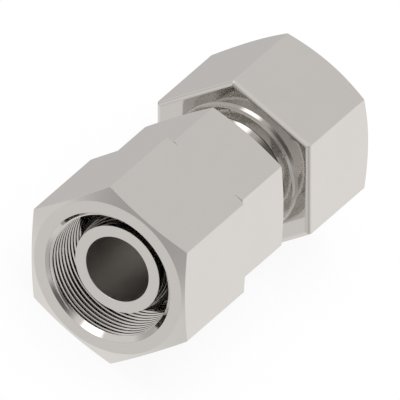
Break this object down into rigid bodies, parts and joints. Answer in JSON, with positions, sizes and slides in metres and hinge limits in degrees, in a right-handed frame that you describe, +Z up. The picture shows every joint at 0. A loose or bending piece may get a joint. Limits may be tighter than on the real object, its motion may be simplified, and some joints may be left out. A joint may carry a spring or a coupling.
{
  "type": "tube fitting",
  "caption": "Straight hydraulic tube union: a bored steel body with a central hexagon, tapered noses with rubber seals, and a freely turning swivel nut on each end.",
  "frame": {"origin": "on the tube axis, half-way along the through bore and half-way between the open faces of the two nuts", "axes": "+X along the tube axis from the front nut (at -X) to the rear nut; +Z up, square to the hexagons' top flats; +Y completes the right-handed frame"},
  "size_m": [0.096, 0.0532, 0.046],
  "materials": {
    "body_steel": "turned and milled, bright, slightly warm grey",
    "nut_steel": "turned and milled, bright, slightly warm grey",
    "seal_rubber": "black, satin",
    "spring_wire": "drawn wire"
  },
  "bodies": {
    "fitting_body": {"body": "body_steel", "front_sealing_ring": "seal_rubber", "rear_sealing_ring": "seal_rubber", "front_retaining_ring": "spring_wire", "rear_retaining_ring": "spring_wire"},
    "front_swivel_nut": {"front_nut": "nut_steel"},
    "rear_swivel_nut": {"rear_nut": "nut_steel"}
  },
  "joints": [
    {"name": "front_nut_swivel", "type": "hinge", "parent": "fitting_body", "child": "front_swivel_nut", "pos_m": [-0.032, 0, 0], "axis": [1, 0, 0], "continuous": true},
    {"name": "rear_nut_swivel", "type": "hinge", "parent": "fitting_body", "child": "rear_swivel_nut", "pos_m": [0.032, 0, 0], "axis": [1, 0, 0], "continuous": true}
  ]
}
